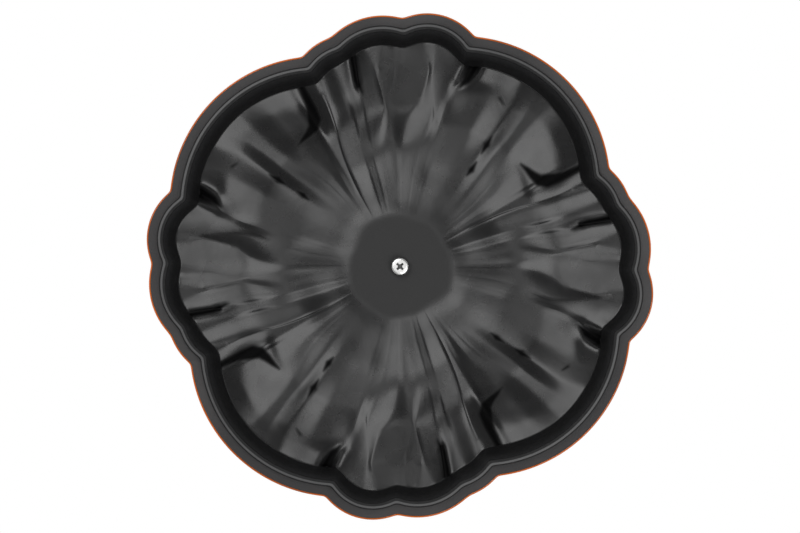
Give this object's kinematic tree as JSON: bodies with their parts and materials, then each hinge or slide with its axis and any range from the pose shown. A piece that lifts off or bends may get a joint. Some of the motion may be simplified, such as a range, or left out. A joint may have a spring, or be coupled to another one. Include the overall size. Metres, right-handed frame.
{
  "type": "cocotte lid",
  "caption": "Pumpkin-shaped cast-iron cocotte lid with scalloped rim, register lip, folded dome and a screwed stem-shaped steel knob.",
  "frame": {"origin": "centre of the lip's foot, on the lid's axis, level with the lowest point of the lid", "axes": "+Z along the lid's axis, out of the top of the knob; +X and -Y pass through two of the four narrow lobes"},
  "size_m": [0.2464, 0.2464, 0.0631],
  "materials": {
    "black_enamelled_iron": "satin black enamel",
    "orange_glaze": "glossy",
    "satin_steel": "satin",
    "bright_steel": "bright",
    "spring_steel": "satin",
    "grey_silicone": "matte"
  },
  "bodies": {
    "root": {"lid_casting": "black_enamelled_iron", "outer_enamel": "orange_glaze", "knob": "satin_steel", "knob_gasket": "grey_silicone", "lock_washer": "spring_steel", "knob_screw": "bright_steel"}
  },
  "joints": []
}
